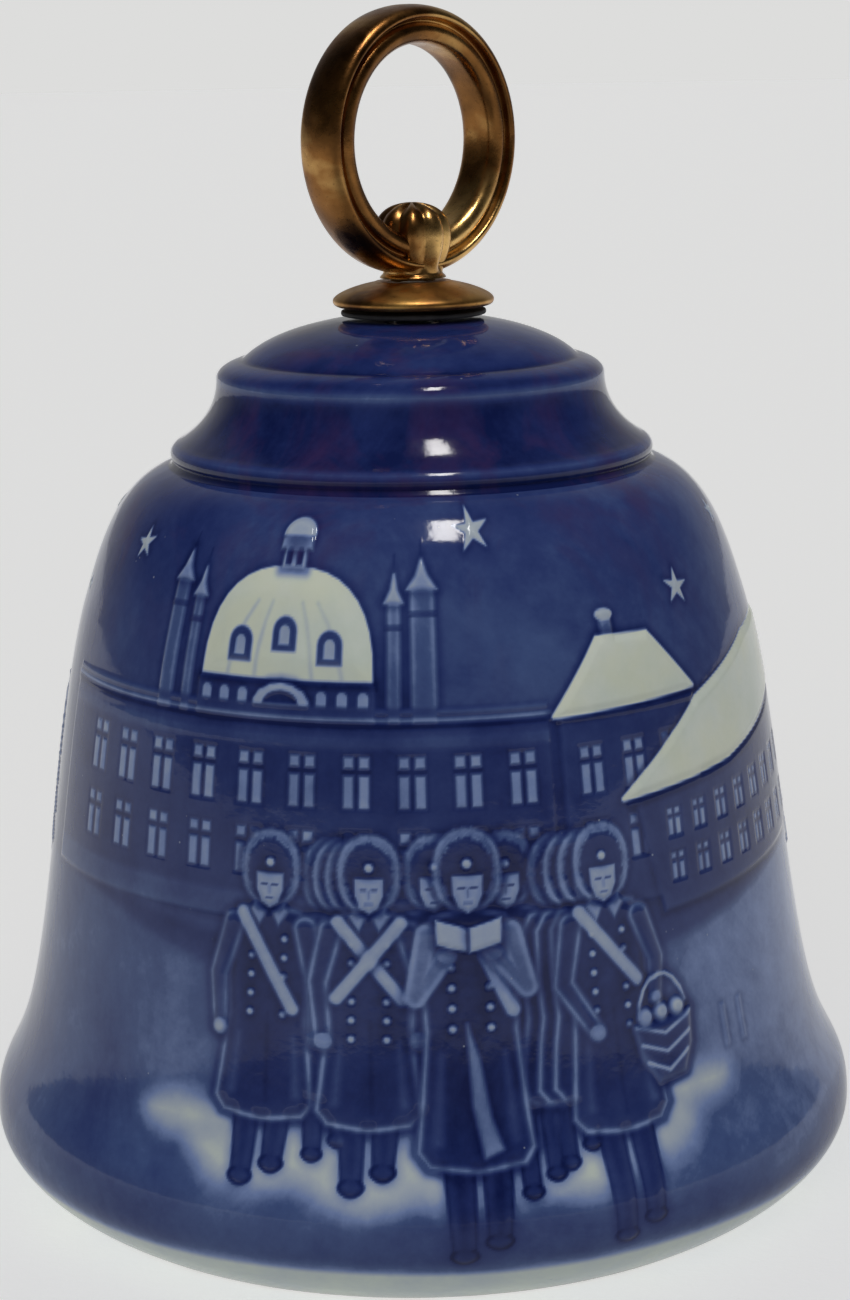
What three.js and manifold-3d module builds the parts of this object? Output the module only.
// Porcelain hand bell: a glazed shell, a brass ring handle bolted through the crown,
// and a porcelain clapper that hangs inside on a chain of five wire links.
// Millimetres, +Z up. The origin is the centre of the foot ring, on the table.

import * as THREE from 'three';
import { mergeVertices } from 'three/addons/utils/BufferGeometryUtils.js';
import Module from 'manifold-3d';

const wasm = await Module();
wasm.setup();

// ---------- driving dimensions ----------

const CLEARANCE = 0.3;            // left between pieces that touch on the real bell

const RIM_RADIUS = 45;            // widest point of the bell
const RIM_HEIGHT = 7.6;           // height of that widest point
const FOOT_RADIUS = 38.9;         // outer edge of the flat foot ring
const MOUTH_RADIUS = 36.6;        // inner edge of the flat foot ring
const NECK_RADIUS = 7.2;          // flat seat on top of the crown
const NECK_HEIGHT = 88.6;
const CROWN_HOLE_RADIUS = 2.8;    // stud hole through the crown
const CROWN_SEAT_RADIUS = 9;      // flat seat under the crown
const CROWN_SEAT_HEIGHT = 84.4;

const HANDLE_OFFSET = 0.45;       // the stud sits to one side in its loose hole

const GASKET_RADIUS = 7.3;
const GASKET_THICKNESS = 0.7;
const FLANGE_RADIUS = 8.15;
const FLANGE_HEIGHT = 2.5;

const RING_OUTER_RADIUS = 13.3;
const RING_INNER_RADIUS = 9.45;
const RING_DEPTH = 5.3;
const RING_CENTRE_HEIGHT = 106.3;
const RING_TURN = THREE.MathUtils.degToRad(45);  // the ring's plane is turned about +Z

const CLASP_LOBES = 8;
const LOBE_DEPTH = 0.14;          // groove depth, as a share of the radius
const CLASP_TOP = 100.5;

const STUD_RADIUS = 2;
const STUD_BORE_RADIUS = STUD_RADIUS + CLEARANCE;
const STUD_END_LENGTH = 1.2;      // how far the stud runs into the hanger
const FELT_RADIUS = 7.5;
const FELT_THICKNESS = 1;
const WASHER_RADIUS = 6.5;
const WASHER_THICKNESS = 1;
const NUT_ACROSS_FLATS = 7;
const NUT_THICKNESS = 3.2;

const HANGER_RADIUS = 3;          // ferrule above the hanger's eye
const HANGER_LENGTH = 4.2;
const HANGER_EYE_RADIUS = 2.6;    // eye radius, to the middle of its wire
const EYE_WIRE_RADIUS = 0.6;

const LINK_COUNT = 5;
const LINK_WIRE_RADIUS = 0.55;
const LINK_BEND_RADIUS = 1.75;    // to the middle of the wire
const LINK_LENGTH = 8;            // between the middles of the end wires

const CLAPPER_EYE_RADIUS = 1.9;
const BALL_RADIUS = 8.5;
const BALL_CENTRE_HEIGHT = 18.5;
const CAP_RADIUS = 3.6;
const PIN_BORE_RADIUS = EYE_WIRE_RADIUS + CLEARANCE;

// ---------- heights that follow ----------

const GASKET_BOTTOM = NECK_HEIGHT + CLEARANCE;
const FLANGE_BOTTOM = GASKET_BOTTOM + GASKET_THICKNESS + CLEARANCE;
const FLANGE_TOP = FLANGE_BOTTOM + FLANGE_HEIGHT;
const CLASP_BOTTOM = FLANGE_TOP + CLEARANCE;
const FELT_BOTTOM = CROWN_SEAT_HEIGHT - CLEARANCE - FELT_THICKNESS;
const WASHER_BOTTOM = FELT_BOTTOM - CLEARANCE - WASHER_THICKNESS;
const NUT_BOTTOM = WASHER_BOTTOM - CLEARANCE - NUT_THICKNESS;
const HANGER_TOP = NUT_BOTTOM - CLEARANCE;
const HANGER_BOTTOM = HANGER_TOP - HANGER_LENGTH;
const STUD_BOTTOM = HANGER_TOP - STUD_END_LENGTH;
const HANGER_BORE_BOTTOM = STUD_BOTTOM - CLEARANCE;
const HANGER_PIVOT = HANGER_BOTTOM - 2 * HANGER_EYE_RADIUS;
const LINK_GAP = 2 * LINK_WIRE_RADIUS + CLEARANCE;
const EYE_GAP = EYE_WIRE_RADIUS + LINK_WIRE_RADIUS + CLEARANCE;
const LINK_PITCH = LINK_LENGTH - LINK_GAP;
// Where each link hangs: the middle of the wire above it.
const linkPivot = (index) =>
  (index ? HANGER_PIVOT + EYE_GAP - LINK_GAP - index * LINK_PITCH : HANGER_PIVOT);
const CLAPPER_PIVOT = linkPivot(LINK_COUNT);
const CLAPPER_EYE_HEIGHT = CLAPPER_PIVOT + EYE_GAP - CLAPPER_EYE_RADIUS;
const RIVET_TOP = BALL_CENTRE_HEIGHT - BALL_RADIUS - CLEARANCE;
const RIVET_BOTTOM = RIVET_TOP - 1.5;

// ---------- materials ----------

const metal = (color, roughness) =>
  new THREE.MeshStandardMaterial({ color, roughness, metalness: 1 });
const dull = (color, roughness) =>
  new THREE.MeshStandardMaterial({ color, roughness, metalness: 0 });

const cobaltGlaze = dull(0x25305e, 0.15);
const whiteGlaze = dull(0xd8dad6, 0.2);
const gildedBrass = metal(0x8a6a32, 0.3);
const plainBrass = metal(0xa58a4a, 0.4);
const steel = metal(0x9a9a98, 0.4);
const felt = dull(0x50302a, 0.95);
const blackRubber = dull(0x101012, 0.8);

// ---------- geometry helpers ----------

// Turns a closed outline of [radius, height] points about the Z axis. The outline runs
// upwards on the outside and comes back down on the inside.
function turned(outline, segments) {
  const points = outline.map(([radius, height]) => new THREE.Vector2(radius, height));
  const first = points[0];
  if (first.x > 0) {
    points.push(first.clone());
  }
  return new THREE.LatheGeometry(points, segments).rotateX(Math.PI / 2);
}

// Points of a cubic Bezier from start to end, without the start itself.
function bend(start, control1, control2, end, divisions) {
  const curve = new THREE.CubicBezierCurve(
    ...[start, control1, control2, end].map(([x, y]) => new THREE.Vector2(x, y)),
  );
  return curve.getPoints(divisions).slice(1).map((point) => [point.x, point.y]);
}

function plainWasher(outerRadius, innerRadius, bottom, thickness) {
  return turned([
    [innerRadius, bottom],
    [outerRadius, bottom],
    [outerRadius, bottom + thickness],
    [innerRadius, bottom + thickness],
  ], 24);
}

function toManifold(geometry) {
  const plain = geometry.clone();
  plain.deleteAttribute('normal');
  plain.deleteAttribute('uv');
  const merged = mergeVertices(plain, 1e-4);
  return new wasm.Manifold(new wasm.Mesh({
    numProp: 3,
    vertProperties: new Float32Array(merged.attributes.position.array),
    triVerts: new Uint32Array(merged.index.array),
  }));
}

function toGeometry(solid) {
  const { vertProperties, triVerts } = solid.getMesh();
  const geometry = new THREE.BufferGeometry();
  geometry.setAttribute('position', new THREE.BufferAttribute(vertProperties, 3));
  geometry.setIndex(new THREE.BufferAttribute(triVerts, 1));
  geometry.computeVertexNormals();
  return geometry;
}

const joined = (first, second) => toGeometry(toManifold(first).add(toManifold(second)));
const cut = (first, second) => toGeometry(toManifold(first).subtract(toManifold(second)));

// A wire eye in the XZ plane.
function wireEye(radius, height) {
  const eye = new THREE.TorusGeometry(radius, EYE_WIRE_RADIUS, 8, 20);
  return eye.rotateX(Math.PI / 2).translate(0, 0, height);
}

// ---------- the bell ----------

function bellGeometry() {
  const rim = [RIM_RADIUS, RIM_HEIGHT];
  const foot = [FOOT_RADIUS, 0];
  const waist = [40.5, 21.7];
  const shoulder = [33.9, 60.5];
  const groove = [24.7, 74.3];
  const riser = [24.3, 74.8];
  const lowerRidge = [23.6, 76.7];
  const upperRidge = [19.7, 82.9];
  const crease = [17, 84.8];
  const neck = [NECK_RADIUS, NECK_HEIGHT];
  const outside = [
    foot,
    ...bend(foot, [41.2, 1.4], [RIM_RADIUS, 4], rim, 4),
    ...bend(rim, [RIM_RADIUS, 12.9], [42.5, 12.2], waist, 4),
    ...bend(waist, [38.1, 32.7], [36.8, 50.7], shoulder, 3),
    ...bend(shoulder, [32.2, 65.9], [30.4, 72.7], groove, 5),
    riser,
    ...bend(riser, [24.8, 75.5], [24.6, 76.3], lowerRidge, 3),
    ...bend(lowerRidge, [21.6, 78], [19.8, 79.9], upperRidge, 3),
    ...bend(upperRidge, [19.8, 83.7], [18.7, 84.5], crease, 3),
    ...bend(crease, [15.2, 86.6], [11.8, 87.9], neck, 3),
  ];
  const seat = [CROWN_SEAT_RADIUS, CROWN_SEAT_HEIGHT];
  const innerCrown = [17.6, 76.6];
  const innerShoulder = [29.4, 61];
  const innerWaist = [36.4, 21.7];
  const innerRim = [38.3, 5];
  const mouth = [MOUTH_RADIUS, 0];
  const inside = [
    [CROWN_HOLE_RADIUS, NECK_HEIGHT],
    [CROWN_HOLE_RADIUS, CROWN_SEAT_HEIGHT],
    seat,
    ...bend(seat, [15, 83], [15.4, 79.9], innerCrown, 3),
    ...bend(innerCrown, [21, 72], [27.2, 69.2], innerShoulder, 3),
    ...bend(innerShoulder, [31.5, 53.5], [34.2, 36], innerWaist, 2),
    ...bend(innerWaist, [37.6, 14], [39.4, 9], innerRim, 3),
    ...bend(innerRim, [37.9, 2.4], [37.4, 0.8], mouth, 2),
  ];
  return turned([...outside, ...inside], 40);
}

// ---------- the handle ----------

function gasketGeometry() {
  return plainWasher(GASKET_RADIUS, CROWN_HOLE_RADIUS, GASKET_BOTTOM, GASKET_THICKNESS);
}

function flangeGeometry() {
  const edge = [FLANGE_RADIUS - 0.9, FLANGE_BOTTOM];
  const lip = [FLANGE_RADIUS, FLANGE_BOTTOM + 0.55];
  const top = [3.4, FLANGE_TOP];
  const belowLip = [FLANGE_RADIUS, FLANGE_BOTTOM + 0.2];
  const aboveLip = [FLANGE_RADIUS, FLANGE_TOP - 1];
  return turned([
    [STUD_BORE_RADIUS, FLANGE_BOTTOM],
    edge,
    ...bend(edge, [FLANGE_RADIUS - 0.4, FLANGE_BOTTOM], belowLip, lip, 3),
    ...bend(lip, aboveLip, [5.4, FLANGE_TOP - 0.35], top, 4),
    [STUD_BORE_RADIUS, FLANGE_TOP],
  ], 32);
}

// Half of the ring's cross-section, as [radius, offset from the middle plane]: a convex
// outer band, a step down into a groove, and a broad rounded bead next to the hole.
function ringHalfSection() {
  const half = RING_DEPTH / 2;
  const outer = RING_OUTER_RADIUS;
  const inner = RING_INNER_RADIUS;
  return [
    [outer, 0],
    [outer - 0.1, half - 1.3],
    [outer - 0.35, half - 0.55],
    [outer - 0.8, half - 0.1],
    [outer - 1.3, half],
    [outer - 1.75, half - 0.55],
    [inner + 1.75, half - 0.25],
    [inner + 1.1, half - 0.15],
    [inner + 0.5, half - 0.4],
    [inner + 0.12, half - 0.9],
    [inner, half - 1.5],
  ];
}

// The ring stops short of the knob on each side: its ends are brazed into it.
function ringGeometry() {
  const half = ringHalfSection();
  const mirrored = half.slice(1).reverse().map(([radius, offset]) => [radius, -offset]);
  const ring = turned([...half, ...mirrored], 36);
  ring.rotateX(Math.PI / 2).rotateZ(RING_TURN).translate(0, 0, RING_CENTRE_HEIGHT);
  return cut(ring, claspGeometry(CLEARANCE));
}

// A melon-shaped knob with rounded lobes, pinched into a foot where it meets the flange.
// It may be grown all round, to cut its place in the ring.
function claspGeometry(growth) {
  const bottom = CLASP_BOTTOM - growth;
  const top = CLASP_TOP - 0.3 + growth;
  const foot = [3.3 + growth, bottom];
  const pinch = [3 + growth, CLASP_BOTTOM + 0.5];
  const belly = [3.9 + growth, CLASP_TOP - 3.6];
  const outline = [
    [0, bottom],
    foot,
    pinch,
    ...bend(pinch, [3.2 + growth, CLASP_BOTTOM + 1.5], [belly[0], CLASP_TOP - 5.2], belly, 3),
    ...bend(belly, [belly[0], CLASP_TOP - 1.3], [2.2, CLASP_TOP + growth], [0, top], 5),
  ];
  const knob = turned(outline, 4 * CLASP_LOBES);
  const position = knob.attributes.position;
  for (let i = 0; i < position.count; i += 1) {
    const x = position.getX(i);
    const y = position.getY(i);
    const lobe = Math.abs(Math.cos(Math.atan2(y, x) * CLASP_LOBES / 2));
    const scale = 1 - LOBE_DEPTH * (1 - lobe);
    position.setXYZ(i, x * scale, y * scale, position.getZ(i));
  }
  return knob.rotateZ(RING_TURN);
}

// ---------- the fixings under the crown ----------

function studGeometry() {
  const top = FLANGE_TOP - 0.2;
  const chamfer = 0.4;
  return turned([
    [0, STUD_BOTTOM],
    [STUD_RADIUS - chamfer, STUD_BOTTOM],
    [STUD_RADIUS, STUD_BOTTOM + chamfer],
    [STUD_RADIUS, top - chamfer],
    [STUD_RADIUS - chamfer, top],
    [0, top],
  ], 16);
}

function nutGeometry() {
  const corner = NUT_ACROSS_FLATS / 2 / Math.cos(Math.PI / 6);
  const shape = new THREE.Shape();
  for (let side = 0; side < 6; side += 1) {
    const angle = side * Math.PI / 3;
    shape[side ? 'lineTo' : 'moveTo'](corner * Math.cos(angle), corner * Math.sin(angle));
  }
  shape.closePath();
  shape.holes.push(new THREE.Path().absarc(0, 0, STUD_BORE_RADIUS, 0, 2 * Math.PI, true));
  const settings = { depth: NUT_THICKNESS, bevelEnabled: false, curveSegments: 16 };
  return new THREE.ExtrudeGeometry(shape, settings).translate(0, 0, NUT_BOTTOM);
}

function hangerGeometry() {
  const ferrule = turned([
    [0, HANGER_BOTTOM],
    [HANGER_RADIUS - 0.7, HANGER_BOTTOM],
    [HANGER_RADIUS, HANGER_BOTTOM + 0.7],
    [HANGER_RADIUS, HANGER_TOP],
    [STUD_BORE_RADIUS, HANGER_TOP],
    [STUD_BORE_RADIUS, HANGER_BORE_BOTTOM],
    [0, HANGER_BORE_BOTTOM],
  ], 20);
  return joined(ferrule, wireEye(HANGER_EYE_RADIUS, HANGER_PIVOT + HANGER_EYE_RADIUS));
}

// ---------- the chain ----------

// The middle line of a link's wire: two straight sides and two half-round ends, in XZ.
class LinkCurve extends THREE.Curve {
  getPoint(t, target = new THREE.Vector3()) {
    const side = LINK_LENGTH - 2 * LINK_BEND_RADIUS;
    const end = Math.PI * LINK_BEND_RADIUS;
    const half = side + end;
    const whole = t * 2 * half;
    const sign = whole < half ? 1 : -1;
    const along = whole < half ? whole : whole - half;
    if (along <= side) {
      return target.set(sign * LINK_BEND_RADIUS, 0, sign * (along - side / 2));
    }
    const angle = (along - side) / LINK_BEND_RADIUS;
    const x = LINK_BEND_RADIUS * Math.cos(angle);
    const z = side / 2 + LINK_BEND_RADIUS * Math.sin(angle);
    return target.set(sign * x, 0, sign * z);
  }
}

// Each link hangs a quarter turn from the one above, the first one across the hanger's eye.
function linkGeometry(index) {
  const top = linkPivot(index) + (index ? LINK_GAP : EYE_GAP);
  const link = new THREE.TubeGeometry(new LinkCurve(), 16, LINK_WIRE_RADIUS, 8, true);
  const turn = index % 2 ? 0 : Math.PI / 2;
  return link.rotateZ(turn).translate(0, 0, top - LINK_LENGTH / 2);
}

// ---------- the clapper ----------

function clapperEyeGeometry() {
  const top = CLAPPER_EYE_HEIGHT - CLAPPER_EYE_RADIUS;
  const bottom = RIVET_BOTTOM + 1;
  const pin = new THREE.CylinderGeometry(EYE_WIRE_RADIUS, EYE_WIRE_RADIUS, top - bottom, 12);
  pin.rotateX(Math.PI / 2).translate(0, 0, (top + bottom) / 2);
  const quarterTurn = LINK_COUNT % 2 ? 0 : Math.PI / 2;
  return joined(pin, wireEye(CLAPPER_EYE_RADIUS, CLAPPER_EYE_HEIGHT)).rotateZ(quarterTurn);
}

function clapperCapGeometry() {
  const seatRadius = BALL_RADIUS + CLEARANCE;
  const seatHeight = (radius) => BALL_CENTRE_HEIGHT + Math.sqrt(seatRadius ** 2 - radius ** 2);
  const skirtHeight = seatHeight(CAP_RADIUS);
  const skirt = [CAP_RADIUS, skirtHeight + 0.5];
  const collar = [1.6, skirtHeight + 2.8];
  return turned([
    [PIN_BORE_RADIUS, seatHeight(PIN_BORE_RADIUS)],
    [2.2, seatHeight(2.2)],
    [CAP_RADIUS, skirtHeight],
    skirt,
    ...bend(skirt, [3.3, skirtHeight + 1.5], [1.7, skirtHeight + 1.3], collar, 4),
    [1.3, skirtHeight + 3.1],
    [PIN_BORE_RADIUS, skirtHeight + 3.1],
  ], 20);
}

function clapperBallGeometry() {
  const steps = 12;
  const start = Math.asin(PIN_BORE_RADIUS / BALL_RADIUS);
  const outline = [];
  for (let step = 0; step <= steps; step += 1) {
    const angle = start + (Math.PI - 2 * start) * step / steps;
    const height = BALL_CENTRE_HEIGHT - BALL_RADIUS * Math.cos(angle);
    outline.push([BALL_RADIUS * Math.sin(angle), height]);
  }
  return turned(outline, 24);
}

function clapperRivetGeometry() {
  return turned([
    [0, RIVET_BOTTOM],
    [1.2, RIVET_BOTTOM + 0.1],
    [1.9, RIVET_BOTTOM + 0.6],
    [1.9, RIVET_TOP],
    [PIN_BORE_RADIUS, RIVET_TOP],
    [PIN_BORE_RADIUS, RIVET_BOTTOM + 0.7],
    [0, RIVET_BOTTOM + 0.7],
  ], 16);
}

// ---------- the assembly ----------

const bell = new THREE.Group();

function place(group, name, geometry, material) {
  const mesh = new THREE.Mesh(geometry, material);
  mesh.name = name;
  group.add(mesh);
}

place(bell, 'porcelain_bell', bellGeometry(), cobaltGlaze);

const handle = new THREE.Group();
place(handle, 'crown_gasket', gasketGeometry(), blackRubber);
place(handle, 'crown_flange', flangeGeometry(), gildedBrass);
place(handle, 'handle_clasp', claspGeometry(0), gildedBrass);
place(handle, 'handle_ring', ringGeometry(), gildedBrass);
bell.add(handle);

const fixings = new THREE.Group();
const feltGeometry = plainWasher(FELT_RADIUS, STUD_BORE_RADIUS, FELT_BOTTOM, FELT_THICKNESS);
const washerGeometry =
  plainWasher(WASHER_RADIUS, STUD_BORE_RADIUS, WASHER_BOTTOM, WASHER_THICKNESS);
place(fixings, 'threaded_stud', studGeometry(), steel);
place(fixings, 'inner_felt_washer', feltGeometry, felt);
place(fixings, 'inner_washer', washerGeometry, plainBrass);
place(fixings, 'hex_nut', nutGeometry(), plainBrass);
place(fixings, 'hanger_eye', hangerGeometry(), plainBrass);
bell.add(fixings);

const chain = new THREE.Group();
for (let index = 0; index < LINK_COUNT; index += 1) {
  place(chain, `chain_link_${index + 1}`, linkGeometry(index), plainBrass);
}
bell.add(chain);

const clapper = new THREE.Group();
place(clapper, 'clapper_eye', clapperEyeGeometry(), plainBrass);
place(clapper, 'clapper_cap', clapperCapGeometry(), plainBrass);
place(clapper, 'clapper_ball', clapperBallGeometry(), whiteGlaze);
place(clapper, 'clapper_rivet', clapperRivetGeometry(), plainBrass);
bell.add(clapper);

for (const group of [handle, fixings, chain, clapper]) {
  group.position.x = HANDLE_OFFSET;
}

export default bell;
